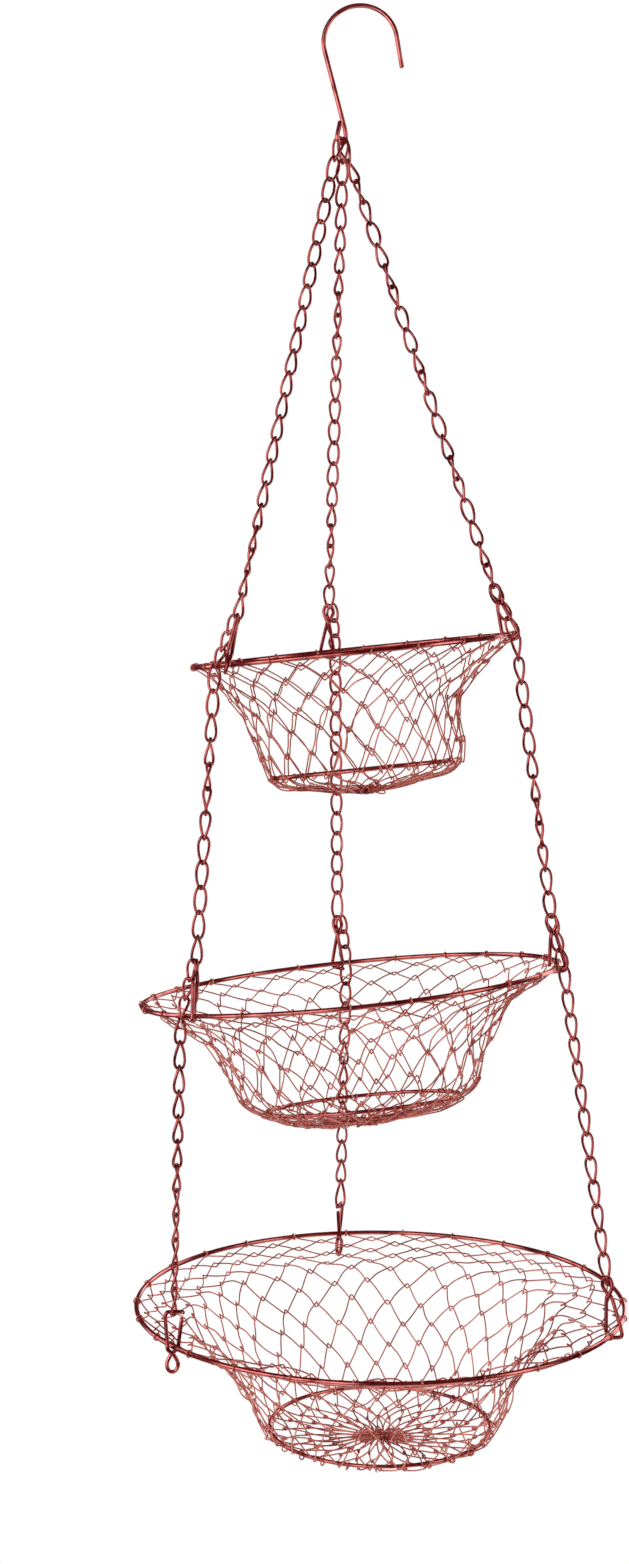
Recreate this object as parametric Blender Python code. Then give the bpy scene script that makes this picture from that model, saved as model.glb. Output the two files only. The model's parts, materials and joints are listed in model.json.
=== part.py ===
# Three-tier hanging wire produce basket: a hook, three chains and three wire-net bowls.
# Metres, +Z up. The origin is the point of the hook's crown that a rod touches, +X is to the
# right and +Y is towards the back. Each bowl hangs slightly tilted, as it does on its chains.

from math import asin, atan2, cos, degrees, radians, sin, tau

import bmesh
import bpy
from mathutils import Matrix, Vector

# Wire diameters
HOOK_WIRE = 0.0024
RIM_WIRE = 0.0024
BASE_WIRE = 0.0020
CLIP_WIRE = 0.0017
CHAIN_WIRE = 0.00125
TIE_WIRE = 0.0010
NET_WALL = 0.0009

GAP = 0.0003  # between neighbouring pieces
JOINT_GAP = 0.0004  # between two chain pieces that swing on each other
EYE_GAP = 0.0005  # between the hook's eye and the end links, which swing in it
OPEN_GAP = 0.0020  # below a chain that is not fastened to its clip

# Hook
CROWN_RADIUS = 0.0190
CROWN_SHIFT = -0.0008  # the bend's centre lies a little left of the contact point
TIP_FLARE = 9.6  # degrees that the short tip leans outwards
TIP_LENGTH = 0.0162
LEG_LEAN = 14.5  # degrees that the long leg leans inwards
LEG_LENGTH = 0.0410
LEG_TURN_RADIUS = 0.020  # the leg's last bend, which brings it upright
EYE_RADIUS = 0.0035
EYE_TURN = 230.0  # azimuth, in degrees, that the eye is bent towards
EYE_END_LENGTH = 0.0078
EYE_END_LEAN = 17.0
CROWN_STEPS = 15
LEG_TURN_STEPS = 2
EYE_STEPS = 8

# Chain
PITCH = 0.0116
LINK_WIDTH = 0.0072
KNOT_WIDTH = 0.0018
TOP_LINK_LENGTH = 0.01285  # centre line of an end link in the hook's eye
TOP_LINK_SPREAD = 70.0  # degrees between the end links in the eye
CHAIN_START = 0.0120  # from the eye to where the chains begin
NECK_OUT = 0.0036  # how far outside the rim a chain passes
NECK_SIDE = 0.0050  # how far beside its clip it passes
NECK_DROP = 0.0040  # from a clip's top to the first link that passes beside it
NECK_CLEAR = 0.0011  # between a clip's eye and the first link beside it
NECK_LINKS = 2
END_LINK_STEPS = 5  # in each half of an end link

# Clip: one bent wire, an eye at one end and a wide latch at the other
EYE_HALF = 0.00265
EYE_LENGTH = 0.0042
CROSSING = 0.0090
LATCH_HALF = 0.0040
LATCH_END = 0.0292
LEG_END = 0.0272
RIM_IN_LATCH = LATCH_END - (CLIP_WIRE + RIM_WIRE) / 2 - GAP
RIM_IN_EYE = EYE_LENGTH - 0.0004
RIM_ON_NECK = 0.0124
NECK_BULGE = 0.0026
# Half of the eye, then a leg: (across, along, share of the crossing's offset)
CLIP_EYE = ((0.0019, 0.0012, 0.15), (EYE_HALF, EYE_LENGTH, 0.6), (0.0010, 0.0075, 0.95), (0.0, CROSSING, 1.0))
NECK_LEG = ((NECK_BULGE, RIM_ON_NECK - 0.0010, 1.0), (0.0030, 0.0160, 0.5))
PLAIN_LEG = ((0.0011, 0.0104, 1.0),)
LATCH_CORNER = 0.0007  # how far the latch's first corner is cut
LATCH_HOOK = 0.0013

SIDES = ("left", "back", "right")

# Each net is a turned outline of (radius, depth below the rim).
TIERS = (
    {
        "name": "top", "centre": (-0.0044, 0.0, -0.3322), "roll": 5.9, "pitch": 0.3,
        "rim": 0.0832, "base": 0.0480, "base_depth": 0.0615, "base_tilt": -3.2,
        "azimuths": (-140, 99, -17), "turns": (28, 52, 0), "hangs": ("eye", "latch", "latch"),
        "net": ((0.0760, 0.0052), (0.0660, 0.0160), (0.0560, 0.0290), (0.0525, 0.0410),
                (0.0512, 0.0520), (0.0505, 0.0625), (0.0440, 0.0668), (0.0220, 0.0710)),
        "net_bottom": 0.0725,
    },
    {
        "name": "middle", "centre": (-0.0062, 0.0, -0.5039), "roll": 5.8, "pitch": -1.9,
        "rim": 0.1077, "base": 0.0495, "base_depth": 0.0620, "base_tilt": -4.2,
        "azimuths": (-136, 93, -11), "turns": (44, 41, 0), "hangs": ("latch", "latch", "latch"),
        "net": ((0.0970, 0.0065), (0.0840, 0.0145), (0.0745, 0.0250), (0.0675, 0.0360),
                (0.0650, 0.0470), (0.0620, 0.0580), (0.0540, 0.0655), (0.0260, 0.0705)),
        "net_bottom": 0.0720,
    },
    {
        "name": "bottom", "centre": (0.0093, 0.0, -0.6679), "roll": 0.0, "pitch": 2.1,
        "rim": 0.1254, "base": 0.0570, "base_depth": 0.0650, "base_tilt": 0.0,
        "azimuths": (-145, 99, -24), "turns": (-25, -6, 0), "hangs": ("neck", "neck", "latch"),
        "net": ((0.1120, 0.0060), (0.0940, 0.0085), (0.0850, 0.0200), (0.0745, 0.0340),
                (0.0672, 0.0460), (0.0645, 0.0570), (0.0622, 0.0655), (0.0500, 0.0703)),
        "net_bottom": 0.0715,
    },
)

RIM_SEGMENTS = 36
BASE_SEGMENTS = 24
TIE_SEGMENTS = 12
TIE_RADIUS = 0.0032
TIE_DROP = 0.0006  # how far the centre tie lies above the net's lowest point
LIP_DROP = 0.0004  # from the rim's centre down to the net's top edge
HOOK_SIDES = 8
RIM_SIDES = 6
BASE_SIDES = 5
CLIP_SIDES = 5
LINK_SIDES = 4
NET_COLUMNS = 8  # between one clip's notch and the next
NOTCH_HALF = 0.0065  # half the width left free in the net's top edge for a clip
CHAIN_TURN = 24.0  # degrees that a chain's flat turns from one end to the other
FIRST_FLATS = (40.0, -50.0, 10.0)  # which way each upper chain's flat faces where it starts
HOLE_END_SHARE = 0.75  # of a wire's thickness left between a link's hole and its end

COPPER = (0.72, 0.34, 0.28, 1.0)
DARK_COPPER = (0.58, 0.25, 0.20, 1.0)


def polar(azimuth):
    """A level unit vector at an azimuth in degrees."""
    return Vector((cos(radians(azimuth)), sin(radians(azimuth)), 0.0))


def across(direction, along):
    """The part of a direction that is square to another, as a unit vector."""
    return (direction - along * direction.dot(along)).normalized()


def copper(name, colour):
    material = bpy.data.materials.new(name + "_copper")
    material.use_nodes = True
    shader = material.node_tree.nodes["Principled BSDF"]
    shader.inputs["Base Color"].default_value = colour
    shader.inputs["Metallic"].default_value = 1.0
    shader.inputs["Roughness"].default_value = 0.24
    return material


def add_object(name, mesh, colour=COPPER, origin=None, parent=None):
    """Makes a named object from a bmesh, with its origin on its joint where it has one."""
    bmesh.ops.recalc_face_normals(mesh, faces=mesh.faces)
    if origin:
        bmesh.ops.translate(mesh, verts=mesh.verts, vec=-origin)
    data = bpy.data.meshes.new(name)
    mesh.to_mesh(data)
    mesh.free()
    data.shade_smooth()
    data.set_sharp_from_angle(angle=radians(50))
    data.materials.append(copper(name, colour))
    piece = bpy.data.objects.new(name, data)
    bpy.context.collection.objects.link(piece)
    if origin:
        piece.location = origin
    if parent:
        piece.parent = parent
        piece.matrix_parent_inverse = Matrix.Translation(-parent.location)
    return piece


def tube(points, diameter, sides, closed=False):
    """A round wire swept along points, with frames that never twist."""
    mesh = bmesh.new()
    count = len(points)
    rings = []
    normal = None
    for i, point in enumerate(points):
        before = points[i - 1] if closed or i > 0 else point
        after = points[(i + 1) % count] if closed or i < count - 1 else point
        along = (after - before).normalized()
        if normal is None:
            guide = Vector((0, 0, 1)) if abs(along.z) < 0.8 else Vector((1, 0, 0))
            normal = across(guide, along)
        normal = across(normal, along)
        other = along.cross(normal)
        ring = []
        for k in range(sides):
            turn = tau * (k + 0.5) / sides
            ring.append(mesh.verts.new(point + (normal * cos(turn) + other * sin(turn)) * diameter / 2))
        rings.append(ring)
    for i in range(count if closed else count - 1):
        near, far = rings[i], rings[(i + 1) % count]
        for k in range(sides):
            nxt = (k + 1) % sides
            mesh.faces.new((near[k], near[nxt], far[nxt], far[k]))
    if not closed:
        mesh.faces.new(rings[0])
        mesh.faces.new(rings[-1])
    return mesh


def circle(centre, across_x, across_y, radius, start, end, steps):
    """Points on an arc, from one angle to another in degrees."""
    points = []
    for i in range(steps + 1):
        turn = radians(start + (end - start) * i / steps)
        points.append(centre + (across_x * cos(turn) + across_y * sin(turn)) * radius)
    return points


def chain(start, end, links, flats):
    """A straight stretch of chain as one solid: flat links, each with its own hole."""
    mesh = bmesh.new()
    along = (end - start).normalized()
    step = (end - start) / links
    half_thick = CHAIN_WIRE / 2
    hole_half = LINK_WIDTH / 2 - CHAIN_WIRE

    def flat_at(share):
        turn = radians(flats[0] + (flats[1] - flats[0]) * share)
        wide = across(Vector((cos(turn), sin(turn), 0.0)), along)
        return wide, along.cross(wide)

    def corner(share, offset, side):
        wide, thick = flat_at(share / links)
        return mesh.verts.new(start + step * share + wide * offset + thick * half_thick * side)

    def knot(share):
        return [corner(share, x, t) for x, t in
                ((-KNOT_WIDTH / 2, -1), (KNOT_WIDTH / 2, -1), (-KNOT_WIDTH / 2, 1), (KNOT_WIDTH / 2, 1))]

    above = knot(0)
    mesh.faces.new((above[0], above[1], above[3], above[2]))
    hole_end = CHAIN_WIRE * HOLE_END_SHARE / step.length
    for link in range(links):
        below = knot(link + 1)
        middle = link + 0.5
        rows = []
        for side in (-1, 1):
            rows.append({
                "out_left": corner(middle, -LINK_WIDTH / 2, side),
                "out_right": corner(middle, LINK_WIDTH / 2, side),
                "left": corner(middle, -hole_half, side),
                "right": corner(middle, hole_half, side),
                "top": corner(link + hole_end, 0, side),
                "bottom": corner(link + 1 - hole_end, 0, side),
            })
        for level, row in enumerate(rows):
            top_left, top_right = above[level * 2], above[level * 2 + 1]
            low_left, low_right = below[level * 2], below[level * 2 + 1]
            for face in (
                (top_left, top_right, row["top"]),
                (top_left, row["top"], row["left"], row["out_left"]),
                (top_right, row["out_right"], row["right"], row["top"]),
                (low_left, row["out_left"], row["left"], row["bottom"]),
                (low_right, row["bottom"], row["right"], row["out_right"]),
                (low_left, row["bottom"], low_right),
            ):
                mesh.faces.new(face)
        near, far = rows
        for first, second in (("top", "left"), ("left", "bottom"), ("bottom", "right"), ("right", "top")):
            mesh.faces.new((near[first], near[second], far[second], far[first]))
        for corner_name, index in (("out_left", 0), ("out_right", 1)):
            mesh.faces.new((above[index], near[corner_name], far[corner_name], above[index + 2]))
            mesh.faces.new((near[corner_name], below[index], below[index + 2], far[corner_name]))
        above = below
    mesh.faces.new((above[0], above[1], above[3], above[2]))
    return mesh


def hook_path():
    """The hook's centre line: tip, crown, leaning leg and the small eye at its foot."""
    right, up = Vector((1, 0, 0)), Vector((0, 0, 1))
    crown = Vector((CROWN_SHIFT, 0, HOOK_WIRE / 2 - CROWN_RADIUS))
    points = circle(crown, right, up, CROWN_RADIUS, TIP_FLARE, 180 + LEG_LEAN, CROWN_STEPS)
    tip = points[0] + Vector((sin(radians(TIP_FLARE)), 0, -cos(radians(TIP_FLARE)))) * TIP_LENGTH
    points.insert(0, tip)
    lean = Vector((sin(radians(LEG_LEAN)), 0, -cos(radians(LEG_LEAN))))
    foot = points[-1] + lean * LEG_LENGTH
    bend = foot - across(right, lean) * LEG_TURN_RADIUS
    points += circle(bend, right, up, LEG_TURN_RADIUS, LEG_LEAN, 0, LEG_TURN_STEPS)
    aside = polar(EYE_TURN)
    eye_centre = points[-1] + aside * EYE_RADIUS
    eye = circle(eye_centre, -aside, -up, EYE_RADIUS, 0, 180, EYE_STEPS)[1:]
    end = eye[-1] + (up * cos(radians(EYE_END_LEAN)) - aside * sin(radians(EYE_END_LEAN))) * EYE_END_LENGTH
    return points + eye + [end], eye_centre


def tier_place(tier):
    turn = Matrix.Rotation(radians(-tier["roll"]), 4, "Y") @ Matrix.Rotation(radians(tier["pitch"]), 4, "X")
    return Matrix.Translation(Vector(tier["centre"])) @ turn


def lean(tier, radial, z):
    """A basket's point in space: the deeper it is, the more it takes the base ring's tilt."""
    share = min(max(-z / tier["base_depth"], 0.0), 1.0)
    tilt = radians(tier["base_tilt"]) * share * share
    return tier_place(tier) @ Vector((radial.x, radial.y * cos(tilt), z + radial.y * sin(tilt)))


def clip_length(hang):
    """From the rim wire's centre to the clip's upper end."""
    if hang == "latch":
        return RIM_IN_LATCH + CLIP_WIRE / 2
    seat = RIM_IN_EYE if hang == "eye" else RIM_ON_NECK
    return LATCH_END + CLIP_WIRE / 2 - seat


def anchors(tier, above):
    """Where the three chains meet a tier: on its rim, at its clips' tops and beside its rim."""
    place = tier_place(tier)
    found = []
    for i, azimuth in enumerate(tier["azimuths"]):
        out = place.to_3x3() @ polar(azimuth)
        around = place.to_3x3() @ polar(azimuth + 90)
        rim = place @ (polar(azimuth) * tier["rim"])
        up = (above[i] - rim).normalized()
        top = rim + up * clip_length(tier["hangs"][i])
        beside = rim + out * NECK_OUT - around * NECK_SIDE
        step = (CLIP_WIRE + CHAIN_WIRE) / 2 + EYE_HALF * abs(sin(radians(tier["turns"][i]))) + NECK_CLEAR
        neck = top - up * NECK_DROP - around * step
        found.append({"out": out, "rim": rim, "up": up, "top": top, "beside": beside, "neck": neck})
    return found


def clip_path(hang, turn):
    """The clip's wire in (across, along, aside) from its eye's end, with its two legs crossing once."""
    lift = -1.0 if turn > 0 else 1.0
    lay = (CLIP_WIRE + GAP) / 2 * lift
    eye = [(x, s, -lay * share) for x, s, share in reversed(CLIP_EYE)]
    eye += [(0.0, 0.0, 0.0)] + [(-x, s, lay * share) for x, s, share in CLIP_EYE]
    upper = NECK_LEG if hang == "neck" else PLAIN_LEG
    leg = [(x, s, lay * share) for x, s, share in upper] + [(LATCH_HALF, LEG_END, 0.0)]
    latch = [(LATCH_HALF - LATCH_CORNER, LATCH_END - LATCH_CORNER, 0.0), (LATCH_HALF - LATCH_HOOK, LATCH_END, 0.0)]
    latch.append((-LATCH_HALF - CLIP_WIRE / 4, LATCH_END, 0.0))
    return [(-x, s, -c) for x, s, c in reversed(leg)] + eye + leg + latch


def clip(anchor, hang, turn, azimuth):
    up = anchor["up"]
    wide = across(polar(azimuth + turn), up)
    aside = up.cross(wide)
    if hang == "latch":
        start, along = anchor["top"] - up * CLIP_WIRE / 2, -up
    else:
        seat = RIM_IN_EYE if hang == "eye" else RIM_ON_NECK
        start, along = anchor["rim"] - up * seat, up
    points = [start + wide * x + along * s + aside * c for x, s, c in clip_path(hang, turn)]
    return tube(points, CLIP_WIRE, CLIP_SIDES)


def net(tier):
    """An open bowl of even wall, with a notch in its top edge where each clip hooks the rim."""
    half = degrees(asin(NOTCH_HALF / tier["rim"]))
    angles = []
    notched = []
    turns = sorted(a % 360 for a in tier["azimuths"])
    for i, azimuth in enumerate(turns):
        following = turns[(i + 1) % 3] + (360 if i == 2 else 0)
        notched.append(len(angles))
        angles.append(azimuth - half)
        first = azimuth + half
        last = following - half
        angles += [first + (last - first) * k / NET_COLUMNS for k in range(NET_COLUMNS)]
    lip = (RIM_WIRE + NET_WALL) / 2 + GAP
    outline = [(tier["rim"] - lip, LIP_DROP)] + list(tier["net"])
    mesh = bmesh.new()
    columns = len(angles)

    def shell(inset):
        rows = []
        for i, (radius, depth) in enumerate(outline):
            before, after = outline[max(i - 1, 0)], outline[min(i + 1, len(outline) - 1)]
            slope = atan2(after[1] - before[1], before[0] - after[0])
            r, z = radius - inset * sin(slope), -depth + inset * cos(slope)
            rows.append([mesh.verts.new(lean(tier, polar(a) * r, z)) for a in angles])
        return rows, mesh.verts.new(lean(tier, Vector(), -tier["net_bottom"] + inset))

    (outer, low), (inner, high) = shell(-NET_WALL / 2), shell(NET_WALL / 2)
    bands = len(outline) - 1
    for j in range(columns):
        k = (j + 1) % columns
        first = 1 if j in notched else 0
        for i in range(first, bands):
            mesh.faces.new((outer[i][j], outer[i + 1][j], outer[i + 1][k], outer[i][k]))
            mesh.faces.new((inner[i][j], inner[i][k], inner[i + 1][k], inner[i + 1][j]))
        mesh.faces.new((outer[first][j], outer[first][k], inner[first][k], inner[first][j]))
        if first:
            mesh.faces.new((outer[0][j], inner[0][j], inner[1][j], outer[1][j]))
            mesh.faces.new((outer[0][k], outer[1][k], inner[1][k], inner[0][k]))
        mesh.faces.new((outer[bands][j], low, outer[bands][k]))
        mesh.faces.new((inner[bands][j], inner[bands][k], high))
    return mesh


def hoop(tier, radius, depth, diameter, segments, sides, start):
    points = [lean(tier, polar(start + 360 * i / segments) * radius, -depth) for i in range(segments)]
    return tube(points, diameter, sides, closed=True)


def joint_empty(name, at):
    empty = bpy.data.objects.new(name, None)
    empty.empty_display_size = 0.01
    empty.location = at
    bpy.context.collection.objects.link(empty)
    return empty


def layout():
    """Every point that the pieces and the joints share."""
    path, eye_centre = hook_path()
    eye = eye_centre - Vector((0, 0, EYE_RADIUS))
    tiers = [anchors(TIERS[0], [eye] * 3)]
    for tier in TIERS[1:]:
        tiers.append(anchors(tier, [a["beside"] for a in tiers[-1]]))
    spans = []
    for upper, lower in zip(tiers, tiers[1:]):
        span = []
        for i, side in enumerate(SIDES):
            start, end = upper[i]["beside"], lower[i]["top"]
            along = (end - start).normalized()
            swing = start + along * JOINT_GAP
            sway = swing + along * (PITCH + JOINT_GAP)
            tail = end - along * OPEN_GAP
            if side == "back":
                tail = end - along * (PITCH + 3 * JOINT_GAP)
            span.append({"along": along, "swing": swing, "sway": sway, "tail": tail, "end": end})
        spans.append(span)
    return {"path": path, "eye_centre": eye_centre, "eye": eye, "tiers": tiers, "spans": spans}


def top_link(eye_centre, toward, index):
    """One end link: an oval ring round the foot of the hook's eye."""
    aside = polar(EYE_TURN)
    seat = EYE_RADIUS - (HOOK_WIRE + CHAIN_WIRE) / 2 - EYE_GAP
    turn = radians(TOP_LINK_SPREAD) * (1, -1, 0)[index]
    top = eye_centre + (aside * sin(turn) - Vector((0, 0, 1)) * cos(turn)) * seat
    wide = across(aside.cross(Vector((0, 0, 1))), toward)
    half_wide = (LINK_WIDTH - CHAIN_WIRE) / 2
    straight = TOP_LINK_LENGTH - 2 * half_wide
    points = circle(top + toward * half_wide, wide, -toward, half_wide, 0, 180, END_LINK_STEPS)
    points += circle(top + toward * (half_wide + straight), -wide, toward, half_wide, 0, 180, END_LINK_STEPS)
    return tube(points, CHAIN_WIRE, LINK_SIDES, closed=True)


def build_basket(tier, anchor_set, empty):
    name = tier["name"]
    start = tier["azimuths"][0]
    add_object(name + "_rim", hoop(tier, tier["rim"], 0, RIM_WIRE, RIM_SEGMENTS, RIM_SIDES, start), parent=empty)
    add_object(name + "_net", net(tier), DARK_COPPER, parent=empty)
    for i, side in enumerate(SIDES):
        mesh = clip(anchor_set[i], tier["hangs"][i], tier["turns"][i], tier["azimuths"][i])
        add_object(name + "_clip_" + side, mesh, parent=empty)
    seat = tier_place(tier) @ Vector((0, 0, -tier["base_depth"]))
    base = hoop(tier, tier["base"], tier["base_depth"], BASE_WIRE, BASE_SEGMENTS, BASE_SIDES, start)
    ring = add_object(name + "_base_ring", base, origin=seat, parent=empty)
    tie_depth = tier["net_bottom"] - (NET_WALL + TIE_WIRE) / 2 - GAP - TIE_DROP
    tie = hoop(tier, TIE_RADIUS, tie_depth, TIE_WIRE, TIE_SEGMENTS, LINK_SIDES, start)
    add_object(name + "_centre_tie", tie, DARK_COPPER, origin=seat, parent=ring)


def build_upper_chains(plan, swing):
    for i, side in enumerate(SIDES):
        toward = (plan["tiers"][0][i]["top"] - plan["eye"]).normalized()
        link = top_link(plan["eye_centre"], toward, i)
        add_object("hook_link_" + side, link, origin=plan["eye"])
        start = plan["eye"] + toward * CHAIN_START
        end = plan["tiers"][0][i]["top"] - toward * GAP
        count = round((end - start).length / PITCH)
        mesh = chain(start, end, count, (FIRST_FLATS[i], FIRST_FLATS[i] + CHAIN_TURN))
        add_object("upper_chain_" + side, mesh, origin=plan["eye"], parent=swing)


def build_span(plan, level, empty):
    """The three chains from one basket down to the next, with the necks that pass the rim."""
    tier, lower = TIERS[level], TIERS[level + 1]["name"]
    for i, side in enumerate(SIDES):
        anchor, span = plan["tiers"][level][i], plan["spans"][level][i]
        along = span["along"]
        flat = tier["azimuths"][i]
        neck = chain(anchor["neck"], anchor["beside"], NECK_LINKS, (flat, flat))
        add_object(tier["name"] + "_neck_chain_" + side, neck, parent=empty)
        link = chain(span["swing"], span["sway"] - along * JOINT_GAP, 1, (flat, flat))
        add_object(lower + "_first_link_" + side, link, origin=span["swing"], parent=empty)
        count = round((span["tail"] - span["sway"]).length / PITCH)
        mesh = chain(span["sway"], span["tail"], count, (flat, flat + CHAIN_TURN))
        run = add_object(lower + "_chain_" + side, mesh, origin=span["sway"], parent=empty)
        if side == "back":
            last = chain(span["tail"] + along * JOINT_GAP, span["end"] - along * JOINT_GAP * 2, 1,
                         (flat + CHAIN_TURN, flat + CHAIN_TURN))
            add_object(lower + "_last_link_back", last, origin=span["tail"], parent=run)


def build():
    for old in list(bpy.data.objects):
        bpy.data.objects.remove(old)
    plan = layout()
    add_object("hook", tube(plan["path"], HOOK_WIRE, HOOK_SIDES))
    joints = [plan["eye"]] + [span[SIDES.index("back")]["end"] for span in plan["spans"]]
    empties = [joint_empty(tier["name"] + "_basket", at) for tier, at in zip(TIERS, joints)]
    build_upper_chains(plan, empties[0])
    for level, tier in enumerate(TIERS):
        build_basket(tier, plan["tiers"][level], empties[level])
        if level < len(TIERS) - 1:
            build_span(plan, level, empties[level])


build()
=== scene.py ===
# Three-tier hanging wire basket: its visible wires, links and nets, built on the frame's own places.
import json
import math
import random

import bmesh
import bpy
from mathutils import Matrix, Vector


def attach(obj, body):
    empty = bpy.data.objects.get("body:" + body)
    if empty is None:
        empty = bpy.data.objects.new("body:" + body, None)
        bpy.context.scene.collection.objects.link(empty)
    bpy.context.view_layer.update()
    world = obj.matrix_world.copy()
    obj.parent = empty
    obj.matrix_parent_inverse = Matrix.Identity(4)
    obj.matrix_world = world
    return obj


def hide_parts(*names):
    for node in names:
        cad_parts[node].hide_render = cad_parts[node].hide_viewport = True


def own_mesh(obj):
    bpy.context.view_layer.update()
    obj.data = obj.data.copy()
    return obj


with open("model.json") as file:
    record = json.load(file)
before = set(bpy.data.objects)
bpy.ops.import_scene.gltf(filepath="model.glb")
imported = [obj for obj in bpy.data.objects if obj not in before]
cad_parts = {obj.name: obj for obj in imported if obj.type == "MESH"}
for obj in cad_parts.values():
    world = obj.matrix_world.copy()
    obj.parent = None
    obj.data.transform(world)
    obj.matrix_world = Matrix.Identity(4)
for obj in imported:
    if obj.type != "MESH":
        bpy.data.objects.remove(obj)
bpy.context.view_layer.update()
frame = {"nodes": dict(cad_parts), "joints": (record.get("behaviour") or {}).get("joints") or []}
joints = {joint["name"]: joint for joint in frame["joints"]}
print("frame loaded:", len(frame["nodes"]), "nodes")

sideNames = ("left", "back", "right")
tierNames = ("top", "middle", "bottom")


# small node helpers
class Signal:
    # one socket, with operators that write their own Math nodes
    def __init__(self, tree, socket):
        self.tree = tree
        self.socket = socket

    def math(self, operation, other=None, swapped=False):
        node = self.tree.nodes.new("ShaderNodeMath")
        node.operation = operation
        pair = [self] if other is None else [self, other]
        for socket, value in zip(node.inputs, reversed(pair) if swapped else pair):
            plug(self.tree, socket, value)
        return Signal(self.tree, node.outputs[0])

    def __add__(self, other):
        return self.math("ADD", other)

    def __sub__(self, other):
        return self.math("SUBTRACT", other)

    def __rsub__(self, other):
        return self.math("SUBTRACT", other, swapped=True)

    def __mul__(self, other):
        return self.math("MULTIPLY", other)

    def __truediv__(self, other):
        return self.math("DIVIDE", other)

    def __rtruediv__(self, other):
        return self.math("DIVIDE", other, swapped=True)

    def __pow__(self, other):
        return self.math("POWER", other)

    __radd__ = __add__
    __rmul__ = __mul__


def plug(tree, socket, value):
    if isinstance(value, Signal):
        tree.links.new(value.socket, socket)
    else:
        socket.default_value = value


class Bench:
    # a node tree and the one method that adds any node to it
    def __init__(self, tree):
        self.tree = tree

    def add(self, kind, settings=None, out=0, stops=None, **inputs):
        node = self.tree.nodes.new(kind)
        for name, value in (settings or {}).items():
            setattr(node, name, value)
        if stops:
            ramp = node.color_ramp.elements
            while len(ramp) < len(stops):
                ramp.new(0.5)
            for element, (place, colour) in zip(ramp, stops):
                element.position = place
                element.color = colour
        for name, value in inputs.items():
            socket = node.inputs[int(name[1:])] if name[1:].isdigit() else node.inputs[name.replace("_", " ")]
            plug(self.tree, socket, value)
        return Signal(self.tree, node.outputs[out])


class Recipe(Bench):
    # a Geometry Nodes tree with named inputs, ended by Realize Instances and Set Material
    def __init__(self, name, sockets):
        tree = bpy.data.node_groups.new(name, "GeometryNodeTree")
        super().__init__(tree)
        tree.interface.new_socket(name="Geometry", in_out="INPUT", socket_type="NodeSocketGeometry")
        tree.interface.new_socket(name="Geometry", in_out="OUTPUT", socket_type="NodeSocketGeometry")
        kinds = {float: "NodeSocketFloat", int: "NodeSocketInt"}
        for label, value in sockets.items():
            socket = tree.interface.new_socket(name=label, in_out="INPUT", socket_type=kinds[type(value)])
            socket.default_value = value
        tree.interface.new_socket(name="Material", in_out="INPUT", socket_type="NodeSocketMaterial")
        self.entry = tree.nodes.new("NodeGroupInput")
        self.exit = tree.nodes.new("NodeGroupOutput")

    def input(self, name):
        return Signal(self.tree, self.entry.outputs[name])

    def close(self, geometry):
        whole = self.add("GeometryNodeRealizeInstances", _0=geometry)
        smooth = self.add("GeometryNodeSetShadeSmooth", _0=whole)
        painted = self.add("GeometryNodeSetMaterial", Geometry=smooth, Material=self.input("Material"))
        self.tree.links.new(painted.socket, self.exit.inputs[0])
        return self.tree


def runRecipe(name, seedMesh, tree, values, material):
    # turns a seed mesh into a plain finished mesh at the origin
    seed = bpy.data.objects.new(name + "Seed", seedMesh)
    bpy.context.collection.objects.link(seed)
    step = seed.modifiers.new(name, "NODES")
    step.node_group = tree
    for item in tree.interface.items_tree:
        if item.item_type == "SOCKET" and item.in_out == "INPUT":
            if item.name == "Material":
                step[item.identifier] = material
            elif item.name in values:
                step[item.identifier] = values[item.name]
    graph = bpy.context.evaluated_depsgraph_get()
    made = bpy.data.meshes.new_from_object(seed.evaluated_get(graph))
    made.name = name
    bpy.data.objects.remove(seed)
    bpy.data.meshes.remove(seedMesh)
    piece = bpy.data.objects.new(name, made)
    bpy.context.collection.objects.link(piece)
    return piece


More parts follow.
